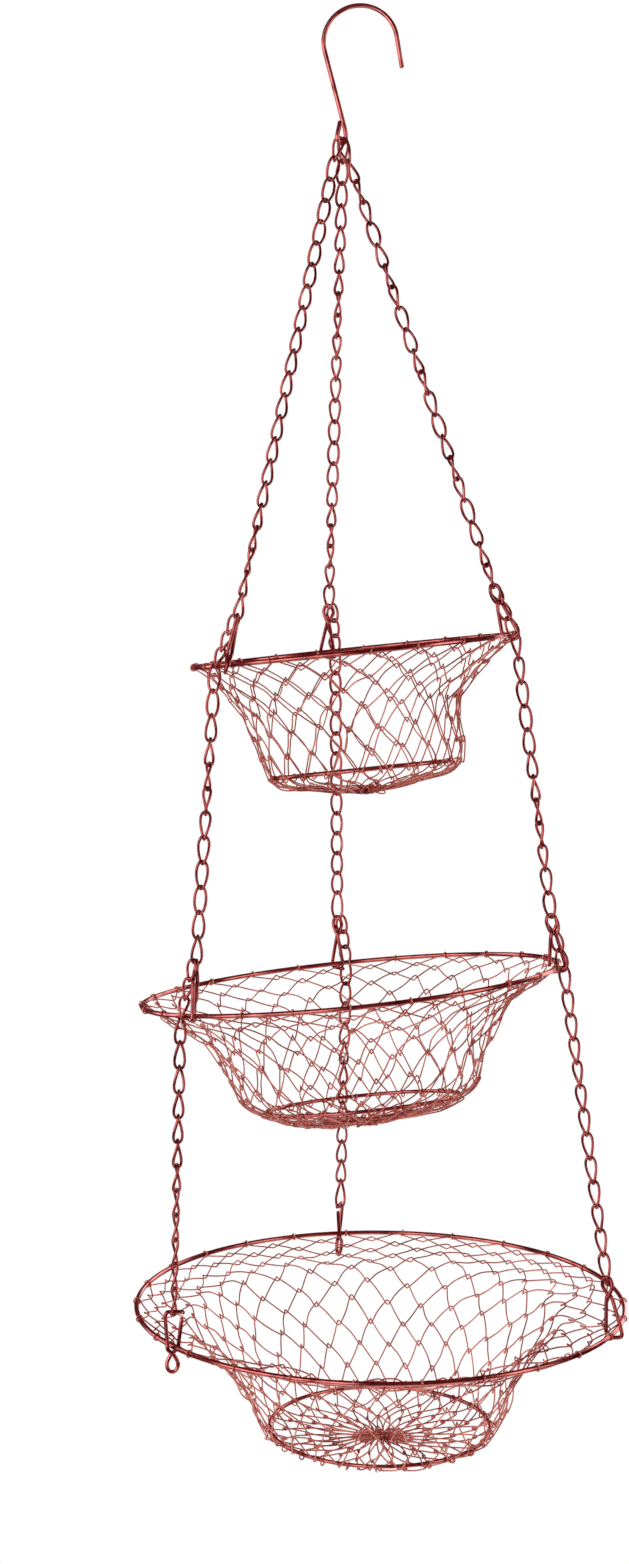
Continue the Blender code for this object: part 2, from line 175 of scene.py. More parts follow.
# the three bowls, where the frame has them: metres, and degrees for every angle
tiers = {
    "top": {
        "centre": (-0.0044, 0.0, -0.3322), "roll": 5.9, "pitch": 0.3,
        "rim": 0.0832, "base": 0.0480, "baseDepth": 0.0615, "baseTilt": -3.2,
        "azimuths": (-140, 99, -17), "turns": (47, 52, 0), "hangs": ("eye", "latch", "latch"),
        "profile": ((0.0820, 0.0004), (0.0760, 0.0052), (0.0660, 0.0160), (0.0565, 0.0290), (0.0535, 0.0410),
                    (0.0525, 0.0520), (0.0500, 0.0620)),
        "floor": ((0.0500, 0.0620), (0.0440, 0.0668), (0.0220, 0.0710), (0.0, 0.0722)),
        "lean": (-0.0026, 0.0),
    },
    "middle": {
        "centre": (-0.0062, 0.0, -0.5039), "roll": 5.8, "pitch": -1.9,
        "rim": 0.1077, "base": 0.0495, "baseDepth": 0.0620, "baseTilt": -4.2,
        "azimuths": (-136, 93, -11), "turns": (44, 41, 0), "hangs": ("latch", "latch", "latch"),
        "profile": ((0.1065, 0.0004), (0.0970, 0.0065), (0.0840, 0.0145), (0.0745, 0.0250), (0.0675, 0.0360),
                    (0.0650, 0.0470), (0.0610, 0.0580), (0.0520, 0.0630)),
        "floor": ((0.0520, 0.0630), (0.0420, 0.0675), (0.0240, 0.0705), (0.0, 0.0718)),
        "lean": (-0.0008, 0.0),
    },
    "bottom": {
        "centre": (0.0093, 0.0, -0.6679), "roll": 0.0, "pitch": 2.1,
        "rim": 0.1254, "base": 0.0570, "baseDepth": 0.0650, "baseTilt": 0.0,
        "azimuths": (-145, 99, -24), "turns": (-25, -26, 0), "hangs": ("neck", "neck", "latch"),
        "profile": ((0.1242, 0.0004), (0.1120, 0.0060), (0.0940, 0.0085), (0.0850, 0.0200), (0.0745, 0.0340),
                    (0.0672, 0.0460), (0.0645, 0.0570), (0.0592, 0.0652)),
        "floor": ((0.0592, 0.0652), (0.0500, 0.0695), (0.0240, 0.0708), (0.0, 0.0712)),
        "lean": (-0.0036, 0.0),
    },
}
for tierName, tier in tiers.items():
    roll = Matrix.Rotation(math.radians(-tier["roll"]), 4, "Y")
    pitch = Matrix.Rotation(math.radians(tier["pitch"]), 4, "X")
    tier["place"] = Matrix.Translation(Vector(tier["centre"])) @ (roll @ pitch)
    tier["up"] = Vector(joints[tierName + "_base_lift"]["axis"])


def polar(azimuth):
    return Vector((math.cos(math.radians(azimuth)), math.sin(math.radians(azimuth)), 0.0))


def leaned(tier, radial, height):
    # a basket's point in space: the deeper it is, the more it takes the base ring's tilt
    share = min(max(-height / tier["baseDepth"], 0.0), 1.0)
    tilt = math.radians(tier["baseTilt"]) * share * share
    return tier["place"] @ Vector((radial.x, radial.y * math.cos(tilt), height + radial.y * math.sin(tilt)))


def across(direction, along):
    # the part of a direction that is square to another
    return (direction - along * direction.dot(along)).normalized()


# wire diameters; chains and clips look a little heavier than the wire their places are reckoned with
wires = {
    "hook": 0.0024, "rim": 0.0024, "base": 0.0020, "net": 0.00078, "gap": 0.0003,
    "clip": 0.0017, "clipLook": 0.00196, "chain": 0.00125, "chainLook": 0.0015,
}
linkSize = {
    "pitch": 0.0116, "width": 0.0072, "twist": 42.0, "sideFullness": 0.72, "endFullness": 0.86,
    "contactSharpness": 4.0, "steps": 20, "sides": 6, "endLink": 0.01285, "hangGap": 0.0002, "hangSpread": 70,
}
neckSize = {"out": 0.0036, "around": 0.0050, "drop": 0.0012, "gap": 0.0004, "pitch": 0.0105}
clipSize = {
    "eyeHalf": 0.00265, "eyeLength": 0.0042, "eyeShoulder": (0.0019, 0.0010), "eyeTaper": (0.0011, 0.0075),
    "crossing": 0.0090, "legTop": (0.0011, 0.0104), "legMiddle": (0.0026, 0.0180), "legEnd": 0.0272,
    "neckBulge": 0.0026, "neckMiddle": (0.0030, 0.0160), "latchHalf": 0.0040, "latchEnd": 0.0292,
    "rimInEye": 0.0038, "rimOnNeck": 0.0124, "bendSteps": 6, "sides": 12,
}
clipSize["rimInLatch"] = clipSize["latchEnd"] - (wires["clip"] + wires["rim"]) / 2 - wires["gap"]
eyePoint = Vector(joints["hook_swing_side"]["pos_m"])


def clipLength(hang):
    if hang == "latch":
        return clipSize["rimInLatch"] + wires["clip"] / 2
    seat = clipSize["rimInEye"] if hang == "eye" else clipSize["rimOnNeck"]
    return clipSize["latchEnd"] + wires["clip"] / 2 - seat


def meetTier(tier, above):
    # where the three chains meet a basket: on its rim, at its clips' tops and beside its rim
    found = []
    for i, azimuth in enumerate(tier["azimuths"]):
        out = tier["place"].to_3x3() @ polar(azimuth)
        around = tier["place"].to_3x3() @ polar(azimuth + 90)
        rim = tier["place"] @ (polar(azimuth) * tier["rim"])
        up = (above[i] - rim).normalized()
        top = rim + up * clipLength(tier["hangs"][i])
        beside = rim + out * neckSize["out"] - around * neckSize["around"]
        found.append({"around": around, "rim": rim, "up": up, "top": top, "beside": beside})
    return found


meets = {"top": meetTier(tiers["top"], [eyePoint] * 3)}
meets["middle"] = meetTier(tiers["middle"], [m["beside"] for m in meets["top"]])
meets["bottom"] = meetTier(tiers["bottom"], [m["beside"] for m in meets["middle"]])


# finishes
copperLook = {
    "cloudScale": 90.0, "cloudDetail": 3.0, "cloudSeed": 1.7, "grainScale": 900.0, "grainDetail": 2.0,
    "grainSeed": 4.2, "noiseRoughness": 0.55, "drawScale": 260.0, "drawDistortion": 9.0, "drawDetail": 2.0,
    "bands": (0.30, 0.52, 0.74), "wornFrom": 0.58, "wornTo": 0.74, "worn": 0.5, "paintedContactShade": 0.6,
    "gloss": 0.20, "cloudGloss": 0.16, "wornGloss": 0.18, "paintedContactShadeGloss": 0.15,
    "grainRelief": 0.7, "drawRelief": 0.3, "bump": 0.30, "bumpDepth": 0.00012,
    "deep": (0.24, 0.035, 0.040), "mid": (0.58, 0.135, 0.130), "light": (0.80, 0.27, 0.245),
    "bare": (0.86, 0.46, 0.41),
}


def mixColours(bench, share, base, top):
    return bench.add("ShaderNodeMix", {"data_type": "RGBA"}, out=2, Factor=share, _6=base, _7=top)


def copperFinish(name, **changes):
    # clouded copper plating, worn in specks, with painted shade darkening the copper where chain links touch
    look = {**copperLook, **changes}
    material = bpy.data.materials.new(name)
    material.use_nodes = True
    bench = Bench(material.node_tree)
    shader = material.node_tree.nodes["Principled BSDF"]
    place = bench.add("ShaderNodeTexCoord", out="Object")
    cloud, grain = (
        bench.add("ShaderNodeTexNoise", {"noise_dimensions": "4D"}, out="Fac", Vector=place,
                  W=look[kind + "Seed"], Scale=look[kind + "Scale"], Detail=look[kind + "Detail"],
                  Roughness=look["noiseRoughness"])
        for kind in ("cloud", "grain"))
    drawMarks = bench.add("ShaderNodeTexWave", {"bands_direction": "Z"}, out="Fac", Vector=place,
                          Scale=look["drawScale"], Distortion=look["drawDistortion"],
                          Detail=look["drawDetail"])
    colours = ((*look["deep"], 1), (*look["mid"], 1), (*look["light"], 1))
    tone = bench.add("ShaderNodeValToRGB", stops=tuple(zip(look["bands"], colours)), Fac=cloud)
    worn = bench.add("ShaderNodeMapRange", out="Result", Value=grain,
                     From_Min=look["wornFrom"], From_Max=look["wornTo"], To_Max=look["worn"])
    # painted shade: the link ends, where links touch, are darkened toward the deep tone and made a little
    # rougher
    contact = bench.add("ShaderNodeAttribute", {"attribute_name": "contact"}, out="Fac")
    paintedContactShade = contact * look["paintedContactShade"]
    plated = mixColours(bench, worn, tone, (*look["bare"], 1))
    plug(bench.tree, shader.inputs["Base Color"], mixColours(bench, paintedContactShade, plated, (*look["deep"], 1)))
    shader.inputs["Metallic"].default_value = 1.0
    rough = (look["gloss"] + (cloud - 0.5) * look["cloudGloss"] + worn * look["wornGloss"]
             + paintedContactShade * look["paintedContactShadeGloss"])
    plug(bench.tree, shader.inputs["Roughness"], rough)
    relief = grain * look["grainRelief"] + drawMarks * look["drawRelief"]
    bump = bench.add("ShaderNodeBump", out="Normal", Height=relief, Strength=look["bump"],
                     Distance=look["bumpDepth"])
    plug(bench.tree, shader.inputs["Normal"], bump)
    return material


# one copper plating in six copies: their different mid tones are painted light and shade, lighter for the
# hook and net and darker for the chain and clip, for how brightly each part shows
finishes = {
    "hook_copper": copperFinish("hookCopper", mid=(0.74, 0.235, 0.20)),
    "chain_copper": copperFinish("chainCopper", mid=(0.54, 0.125, 0.115)),
    "clip_copper": copperFinish("clipCopper", mid=(0.46, 0.10, 0.095), gloss=0.16),
    "rim_copper": copperFinish("rimCopper", mid=(0.68, 0.185, 0.16), gloss=0.17),
    "net_copper": copperFinish("netCopper", cloudScale=60.0, gloss=0.38, deep=(0.50, 0.11, 0.09),
                               mid=(0.86, 0.32, 0.255), light=(0.94, 0.46, 0.37)),
    "base_copper": copperFinish("baseCopper", mid=(0.68, 0.185, 0.16)),
}
print("finishes mixed:", len(finishes))


# bent wires
wireDome = ((0.16, 0.94), (0.34, 0.72))  # how far out, and how wide, the rounded end's two rings are


def roundPath(points, perSpan):
    # a smooth open line through the points
    last = len(points) - 1
    line = []
    for i in range(last):
        a, b, c, d = points[max(i - 1, 0)], points[i], points[i + 1], points[min(i + 2, last)]
        for k in range(perSpan):
            t = k / perSpan
            line.append(0.5 * (2 * b + (c - a) * t + (2 * a - 5 * b + 4 * c - d) * t * t
                               + (3 * b - 3 * c + d - a) * t * t * t))
    line.append(points[-1])
    return line


def bentWire(name, points, diameter, sides, material, closed=False):
    # a round wire swept along points, its frames never twisting; open ends are domed
    mesh = bmesh.new()
    rings = []
    normal = None
    count = len(points)
    lengthwise = []
    for i in range(count):
        before = points[i - 1] if closed or i else points[i]
        after = points[(i + 1) % count] if closed or i < count - 1 else points[i]
        lengthwise.append((after - before).normalized())
    stations = [(p, a, 1.0) for p, a in zip(points, lengthwise)]
    if not closed:
        head, tail = stations[0], stations[-1]
        for rise, shrink in wireDome:
            stations.insert(0, (head[0] - head[1] * rise * diameter / 2, head[1], shrink))
            stations.append((tail[0] + tail[1] * rise * diameter / 2, tail[1], shrink))
    for place, along, share in stations:
        if normal is None:
            guide = Vector((0, 0, 1)) if abs(along.z) < 0.8 else Vector((1, 0, 0))
            normal = across(guide, along)
        normal = across(normal, along)
        other = along.cross(normal)
        ring = []
        for k in range(sides):
            angle = math.tau * k / sides
            offset = normal * math.cos(angle) + other * math.sin(angle)
            ring.append(mesh.verts.new(place + offset * diameter * share / 2))
        rings.append(ring)
    spans = len(rings) if closed else len(rings) - 1
    shift = 0
    for i in range(spans):
        near, far = rings[i], rings[(i + 1) % len(rings)]
        if closed and i == spans - 1:
            shift = min(range(sides), key=lambda s: (far[s].co - near[0].co).length)
        for k in range(sides):
            nxt = (k + 1) % sides
            mesh.faces.new((near[k], near[nxt], far[(nxt + shift) % sides], far[(k + shift) % sides]))
    if not closed:
        mesh.faces.new(rings[0])
        mesh.faces.new(rings[-1])
    bmesh.ops.recalc_face_normals(mesh, faces=mesh.faces)
    data = bpy.data.meshes.new(name)
    mesh.to_mesh(data)
    mesh.free()
    data.shade_smooth()
    data.materials.append(material)
    piece = bpy.data.objects.new(name, data)
    bpy.context.collection.objects.link(piece)
    return piece


def arc(centre, acrossX, acrossY, radius, start, end, steps):
    line = []
    for i in range(steps + 1):
        angle = math.radians(start + (end - start) * i / steps)
        line.append(centre + (acrossX * math.cos(angle) + acrossY * math.sin(angle)) * radius)
    return line


def settle(piece, body, slot, *nodes):
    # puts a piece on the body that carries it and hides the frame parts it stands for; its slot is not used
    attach(piece, body)
    if nodes:
        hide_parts(*nodes)
    return piece


hookShape = {
    "crownRadius": 0.0190, "crownShift": -0.0008, "crownSteps": 40, "tipFlare": 9.6, "tipLength": 0.0162,
    "legLean": 14.5, "legLength": 0.0410, "legTurnRadius": 0.020, "legTurnSteps": 6, "eyeRadius": 0.0035,
    "eyeTurn": 230.0, "eyeSteps": 20, "eyeEndLength": 0.0078, "eyeEndLean": 17.0, "sides": 16,
}


def makeHook():
    s = hookShape
    right, up = Vector((1, 0, 0)), Vector((0, 0, 1))
    crown = Vector((s["crownShift"], 0, wires["hook"] / 2 - s["crownRadius"]))
    line = arc(crown, right, up, s["crownRadius"], s["tipFlare"], 180 + s["legLean"], s["crownSteps"])
    flare, lean = math.radians(s["tipFlare"]), math.radians(s["legLean"])
    tip = line[0] + Vector((math.sin(flare), 0, -math.cos(flare))) * s["tipLength"]
    line = [tip, tip.lerp(line[0], 0.5)] + line
    down = Vector((math.sin(lean), 0, -math.cos(lean)))
    foot = line[-1] + down * s["legLength"]
    line += [line[-1].lerp(foot, 0.5)]
    bend = foot - across(right, down) * s["legTurnRadius"]
    line += arc(bend, right, up, s["legTurnRadius"], s["legLean"], 0, s["legTurnSteps"])
    aside = polar(s["eyeTurn"])
    eyeCentre = line[-1] + aside * s["eyeRadius"]
    line += arc(eyeCentre, -aside, -up, s["eyeRadius"], 0, 180, s["eyeSteps"])[1:]
    endLean = math.radians(s["eyeEndLean"])
    line.append(line[-1] + (up * math.cos(endLean) - aside * math.sin(endLean)) * s["eyeEndLength"])
    hook = bentWire("hookWire", line, wires["hook"], s["sides"], finishes["hook_copper"])
    settle(hook, "hook", "hook_copper", "hook")
    return eyeCentre


eyeCentre = makeHook()
print("hook bent")


# chain links
def makeLinkTree():
    recipe = Recipe("twistedLinks", {
        "Pitch": linkSize["pitch"], "Link Width": linkSize["width"], "Wire": wires["chainLook"],
        "Twist": math.radians(linkSize["twist"]), "Steps": linkSize["steps"], "Sides": linkSize["sides"]})
    pitch, width, wire = (recipe.input(n) for n in ("Pitch", "Link Width", "Wire"))
    halfLong = (pitch + wire) * 0.5
    halfWide = (width - wire) * 0.5
    ring = recipe.add("GeometryNodeCurvePrimitiveCircle", Resolution=recipe.input("Steps"), Radius=1.0)
    spot = recipe.add("GeometryNodeInputPosition")
    parts = recipe.add("ShaderNodeSeparateXYZ", Vector=spot)
    flatY = Signal(recipe.tree, parts.socket.node.outputs["Y"])

    def fuller(value, power):  # turns an ellipse into an oval with fuller sides
        return value.math("SIGN") * (value.math("ABSOLUTE") ** power)

    x = fuller(parts, linkSize["sideFullness"]) * halfWide
    z = fuller(flatY, linkSize["endFullness"]) * halfLong
    angle = z / halfLong * recipe.input("Twist")
    oval = recipe.add("ShaderNodeCombineXYZ", X=x * angle.math("COSINE"), Y=x * angle.math("SINE"), Z=z)
    shaped = recipe.add("GeometryNodeSetPosition", Geometry=ring, Position=oval)
    # marks each link's ends, where links touch, for the painted shade in the copper
    touch = flatY.math("ABSOLUTE") ** linkSize["contactSharpness"]
    marked = recipe.add("GeometryNodeStoreNamedAttribute", {"data_type": "FLOAT", "domain": "POINT"},
                        Geometry=shaped, Name="contact", Value=touch)
    section = recipe.add("GeometryNodeCurvePrimitiveCircle", Resolution=recipe.input("Sides"),
                         Radius=wire * 0.5)
    link = recipe.add("GeometryNodeCurveToMesh", Curve=marked, Profile_Curve=section)
    along = recipe.add("GeometryNodeInputNamedAttribute", {"data_type": "FLOAT_VECTOR"}, Name="along")
    flat = recipe.add("GeometryNodeInputNamedAttribute", {"data_type": "FLOAT_VECTOR"}, Name="flat")
    facing = recipe.add("FunctionNodeAxesToRotation", {"primary_axis": "Z", "secondary_axis": "X"},
                        Primary_Axis=along, Secondary_Axis=flat)
    points = recipe.add("GeometryNodeMeshToPoints", Mesh=recipe.input("Geometry"))
    placed = recipe.add("GeometryNodeInstanceOnPoints", Points=points, Instance=link, Rotation=facing)
    return recipe.close(placed)


linkTree = makeLinkTree()


def seedPoints(name, rows, vectors):
    # loose points, each with its named directions
    data = bpy.data.meshes.new(name)
    data.from_pydata([tuple(row["at"]) for row in rows], [], [])
    for key in vectors:
        layer = data.attributes.new(key, "FLOAT_VECTOR", "POINT")
        for item, row in zip(layer.data, rows):
            item.vector = row[key]
    return data


def spreadAngles(keys, share):
    # the angle between evenly spaced key angles
    if len(keys) == 1:
        return keys[0]
    place = share * (len(keys) - 1)
    low = min(int(place), len(keys) - 2)
    return keys[low] + (keys[low + 1] - keys[low]) * (place - low)


def linkRow(start, end, ideal, keys):
    # evenly spaced links between two contact points
    length = (end - start).length
    count = max(1, round(length / ideal))
    along = (end - start).normalized()
    rows = []
    for i in range(count):
        share = (i + 0.5) / count
        angle = math.radians(spreadAngles(keys, share))
        flat = across(Vector((math.cos(angle), math.sin(angle), 0)), along)
        rows.append({"at": start + (end - start) * share, "along": along, "flat": flat})
    return rows, length / count


def makeChain(name, rows, pitch, body, *nodes):
    seed = seedPoints(name, rows, ("along", "flat"))
    piece = runRecipe(name, seed, linkTree, {"Pitch": pitch}, finishes["chain_copper"])
    return settle(piece, body, "chain_copper", *nodes)


# the way each chain's flat faces, in degrees about the vertical, from its top to its bottom
chainTurns = {
    "neck": {"left": (-35, -55), "back": (189, 170), "right": (-6, 14)},
    "upper": {"left": (0, 3, 20, 36, 40, 42, 50, 95, 45), "back": (0, 35, 55, 112, 140, 178, 217, 278, 350),
              "right": (-150, 666)},
    "middle": {"left": (0, 68, 140, 177, 235), "back": (0, 5, -15, 5, 10), "right": (-60, 175)},
    "bottom": {"left": (40, 50, 65, 90, 98, 92), "back": (0, 20, 60, 40, 30, 42),
               "right": (-38, -42, -60, -45, -42, -45, -48, -35)},
}


def makeUpperChains():
    # three end links in the hook's eye, and the chains that hang from them
    aside = polar(hookShape["eyeTurn"])
    seat = hookShape["eyeRadius"] - (wires["hook"] + wires["chain"]) / 2 - linkSize["hangGap"]
    endPitch = linkSize["endLink"] - wires["chain"]
    for i, side in enumerate(sideNames):
        meet = meets["top"][i]
        toward = (meet["top"] - eyePoint).normalized()
        turn = math.radians(linkSize["hangSpread"]) * (1, -1, 0)[i]  # one link to each side, one below
        hang = eyeCentre + (aside * math.sin(turn) - Vector((0, 0, 1)) * math.cos(turn)) * seat
        contact = hang + toward * endPitch
        wide = across(aside.cross(Vector((0, 0, 1))), toward)
        first = {"at": hang + toward * linkSize["endLink"] / 2, "along": toward, "flat": wide}
        makeChain("endLink" + side.title(), [first], endPitch, "hook_links", "hook_link_" + side)
        end = meet["top"] - meet["up"] * wires["clip"]
        rows, pitch = linkRow(contact, end, linkSize["pitch"], chainTurns["upper"][side])
        makeChain("upperChain" + side.title(), rows, pitch, "top_basket", "upper_chain_" + side)


def makeNeck(tierName, i):
    # the short run of links beside a clip, from its top down past the rim
    side = sideNames[i]
    meet = meets[tierName][i]
    aside = (wires["clip"] + wires["chain"]) / 2 + neckSize["gap"]
    start = meet["top"] - meet["up"] * neckSize["drop"] - meet["around"] * aside
    rows, pitch = linkRow(start, meet["beside"], neckSize["pitch"], chainTurns["neck"][side])
    makeChain(tierName + "Neck" + side.title(), rows, pitch, tierName + "_basket",
              f"{tierName}_neck_chain_{side}")


def makeSpan(upperName, lowerName, i):
    # a chain from one basket to the next: a first link, the run and, at the back, a last link
    side = sideNames[i]
    keys = chainTurns[lowerName][side]
    start, end = meets[upperName][i]["beside"], meets[lowerName][i]["top"]
    along = (end - start).normalized()
    linkJoint = lowerName + ("_sway_front_back" if side == "back" else f"_{side}_link_swing")
    runJoint = lowerName + ("_sway_side" if side == "back" else f"_{side}_chain_swing")
    swing, sway = (Vector(joints[name]["pos_m"]) for name in (linkJoint, runJoint))
    first, pitch = linkRow(swing, sway, linkSize["pitch"], keys[:1])
    makeChain(lowerName + "FirstLink" + side.title(), first, pitch, f"{lowerName}_first_link_{side}",
              f"{lowerName}_first_link_{side}")
    stop = end + along * wires["clip"]
    if side == "back":
        tail = Vector(joints[lowerName + "_side_level"]["pos_m"])
        last, pitch = linkRow(tail, stop, linkSize["pitch"], keys[-1:])
        makeChain(lowerName + "LastLinkBack", last, pitch, lowerName + "_last_link_back",
                  lowerName + "_last_link_back")
        stop = tail
    rows, pitch = linkRow(sway, stop, linkSize["pitch"], keys)
    makeChain(lowerName + "Chain" + side.title(), rows, pitch, f"{lowerName}_chain_{side}",
              f"{lowerName}_chain_{side}")


makeUpperChains()
for upperName, lowerName in (("top", "middle"), ("middle", "bottom")):
    for i in range(3):
        makeNeck(upperName, i)
        makeSpan(upperName, lowerName, i)
print("chains linked")


# clips
def clipLine(hang, turn):
    # the clip's wire as (across, along, aside): two legs that cross once below the eye
    s = clipSize
    lay = (wires["clip"] + wires["gap"]) / 2 * (-1.0 if turn > 0 else 1.0)
    half = ((*s["eyeShoulder"], 0.15), (s["eyeHalf"], s["eyeLength"], 0.6), (*s["eyeTaper"], 0.95),
            (0.0, s["crossing"], 1.0))
    eye = [(x, y, -lay * share) for x, y, share in reversed(half)]
    eye += [(0.0, 0.0, 0.0)] + [(-x, y, lay * share) for x, y, share in half]
    if hang == "neck":
        leg = [(s["neckBulge"], s["rimOnNeck"] - 0.0010, lay), (*s["neckMiddle"], lay * 0.5)]
    else:
        leg = [(*s["legTop"], lay), (*s["legMiddle"], lay * 0.5)]
    leg.append((s["latchHalf"], s["legEnd"] - 0.0012, 0.0))
    wide, deep = s["latchHalf"], s["latchEnd"]
    latch = [(wide - 0.0002, deep - 0.0009, 0.0), (wide - 0.0011, deep, 0.0), (0.0, deep + 0.0001, 0.0),
             (-wide + 0.0004, deep, 0.0), (-wide - 0.0008, deep - 0.0003, 0.0006)]
    return [(-x, y, -c) for x, y, c in reversed(leg)] + eye + leg + latch


def makeClip(tierName, i):
    tier, meet, side = tiers[tierName], meets[tierName][i], sideNames[i]
    hang, turn = tier["hangs"][i], tier["turns"][i]
    wide = across(polar(tier["azimuths"][i] + turn), meet["up"])
    aside = meet["up"].cross(wide)
    if hang == "latch":
        start, along = meet["top"] - meet["up"] * wires["clip"] / 2, -meet["up"]
    else:
        seat = clipSize["rimInEye"] if hang == "eye" else clipSize["rimOnNeck"]
        start, along = meet["rim"] - meet["up"] * seat, meet["up"]
    line = [start + wide * x + along * y + aside * c for x, y, c in clipLine(hang, turn)]
    line = roundPath(line, clipSize["bendSteps"])
    clip = bentWire(tierName + "Clip" + side.title(), line, wires["clipLook"], clipSize["sides"],
                    finishes["clip_copper"])
    settle(clip, tierName + "_basket", "clip_copper", f"{tierName}_clip_{side}")


for tierName in tierNames:
    for i in range(3):
        makeClip(tierName, i)
print("clips bent")


# rims, base rings
hoopShape = {"rim": {"steps": 144, "sides": 12}, "base": {"steps": 96, "sides": 10}}


def makeHoop(name, kind, tier, depth):
    steps, sides = hoopShape[kind]["steps"], hoopShape[kind]["sides"]
    line = [leaned(tier, polar(360 * i / steps) * tier[kind], -depth) for i in range(steps)]
    return bentWire(name, line, wires[kind], sides, finishes[kind + "_copper"], closed=True)


for tierName, tier in tiers.items():
    rim = makeHoop(tierName + "RimWire", "rim", tier, 0)
    settle(rim, tierName + "_basket", "rim_copper", tierName + "_rim")
    base = makeHoop(tierName + "BaseWire", "base", tier, tier["baseDepth"])
    settle(base, tierName + "_base", "base_copper", tierName + "_base_ring")
print("rims and base rings rolled")


# nets
netShape = {
    "cells": {"top": 21, "middle": 24, "bottom": 26}, "leg": 0.0148, "flattest": 0.30, "endRoom": 0.004,
    "hook": 0.0012, "bend": 0.10, "bendDrop": 0.75, "depth": 0.00062, "middleDepth": 0.9,
    "waver": 0.0105, "waverScale": 34.0, "kink": 0.0026, "kinkScale": 140.0, "seed": 3.0, "floorSeed": 7.0,
    "firstLoose": 0.15, "looser": 0.35, "lastLoose": 0.35, "floorLoose": 0.5, "sides": 5, "bendSteps": 3,
}


class Profile:
    # a bowl's outline by the distance run along it from the rim
    def __init__(self, outline):
        self.outline = [Vector((r, -d)) for r, d in outline]
        self.marks = [0.0]
        for a, b in zip(self.outline, self.outline[1:]):
            self.marks.append(self.marks[-1] + (b - a).length)
        self.length = self.marks[-1]

    def at(self, run):
        run = min(max(run, 0.0), self.length)
        i = max(k for k in range(len(self.marks) - 1) if self.marks[k] <= run)
        a, b = self.outline[i], self.outline[i + 1]
        share = (run - self.marks[i]) / (self.marks[i + 1] - self.marks[i])
        slope = (b - a).normalized()
        return a + (b - a) * share, Vector((slope.y, -slope.x))


def netRows(profile, cells, leg):
    # how far down the outline each row's upper and lower bends lie, when every leg has one length
    marks = [0.0]
    while marks[-1] < profile.length - netShape["endRoom"]:
        point, _ = profile.at(marks[-1])
        half = math.pi * max(point.x, 0.001) / cells
        drop = math.sqrt(max(leg * leg - half * half, 0.0))
        marks.append(marks[-1] + max(drop, leg * netShape["flattest"]))
    share = profile.length / marks[-1]
    return [m * share for m in marks]


def netLines(tier, profile, cells, marks, shift):
    # one closed zigzag for each row, its down-going legs outside and its up-going legs inside
    lines = []
    hook, depth, fade = netShape["hook"], netShape["depth"], netShape["middleDepth"]
    near = netShape["bend"]
    for j, (high, low) in enumerate(zip(marks, marks[1:])):
        top = high - (hook if j or shift else 0.0)
        base = low + hook
        line = []
        for k in range(cells):
            angle = 360.0 * (k + 0.5 * ((j + shift) % 2)) / cells
            step = 180.0 / cells
            span = base - top
            far = near * netShape["bendDrop"] * span
            knots = (
                (0.0, top, 0.0), (near, top + far, 1.0), (0.5, top + span * 0.5, fade),
                (1 - near, base - far, 1.0), (1.0, base, 0.0), (1 + near, base - far, -1.0),
                (1.5, top + span * 0.5, -fade), (2 - near, top + far, -1.0))
            for share, run, side in knots:
                point, normal = profile.at(run)
                spot = point + normal * side * depth
                azimuth = angle + step * share
                bulge = 0.0 if shift else math.sin(math.pi * min(run / profile.length, 1.0)) ** 2
                drift = Vector((*tier["lean"], 0.0)) * bulge
                line.append(leaned(tier, polar(azimuth) * spot.x + drift, spot.y))
        lines.append(line)
    return lines


def makeNetTree():
    recipe = Recipe("zigzagNet", {
        "Wire": wires["net"], "Sides": netShape["sides"], "Bend Steps": netShape["bendSteps"],
        "Waver": netShape["waver"], "Waver Scale": netShape["waverScale"],
        "Kink": netShape["kink"], "Kink Scale": netShape["kinkScale"], "Seed": netShape["seed"]})
    spot = recipe.add("GeometryNodeInputPosition")
    hold = recipe.add("GeometryNodeInputNamedAttribute", {"data_type": "FLOAT"}, Name="loose")
    shaken = recipe.input("Geometry")
    for size, scale in (("Waver", "Waver Scale"), ("Kink", "Kink Scale")):
        noise = recipe.add("ShaderNodeTexNoise", {"noise_dimensions": "4D"}, out="Color", Vector=spot,
                           W=recipe.input("Seed"), Scale=recipe.input(scale), Detail=1.0)
        centred = recipe.add("ShaderNodeVectorMath", {"operation": "SUBTRACT"}, _0=noise, _1=(0.5, 0.5, 0.5))
        push = recipe.add("ShaderNodeVectorMath", {"operation": "SCALE"}, _0=centred,
                          Scale=recipe.input(size) * hold)
        shaken = recipe.add("GeometryNodeSetPosition", Geometry=shaken, Offset=push)
    rows = recipe.add("GeometryNodeMeshToCurve", Mesh=shaken)
    soft = recipe.add("GeometryNodeCurveSplineType", {"spline_type": "CATMULL_ROM"}, Curve=rows)
    fine = recipe.add("GeometryNodeSetSplineResolution", Geometry=soft, Resolution=recipe.input("Bend Steps"))
    section = recipe.add("GeometryNodeCurvePrimitiveCircle", Resolution=recipe.input("Sides"),
                         Radius=recipe.input("Wire") * 0.5)
    swept = recipe.add("GeometryNodeCurveToMesh", Curve=fine, Profile_Curve=section)
    return recipe.close(swept)


netTree = makeNetTree()


def seedLines(name, lines, loose):
    corners, edges, slack = [], [], []
    for line, share in zip(lines, loose):
        first = len(corners)
        corners += [tuple(p) for p in line]
        slack += [share] * len(line)
        edges += [(first + i, first + (i + 1) % len(line)) for i in range(len(line))]
    data = bpy.data.meshes.new(name)
    data.from_pydata(corners, edges, [])
    layer = data.attributes.new("loose", "FLOAT", "POINT")
    layer.data.foreach_set("value", slack)
    return data


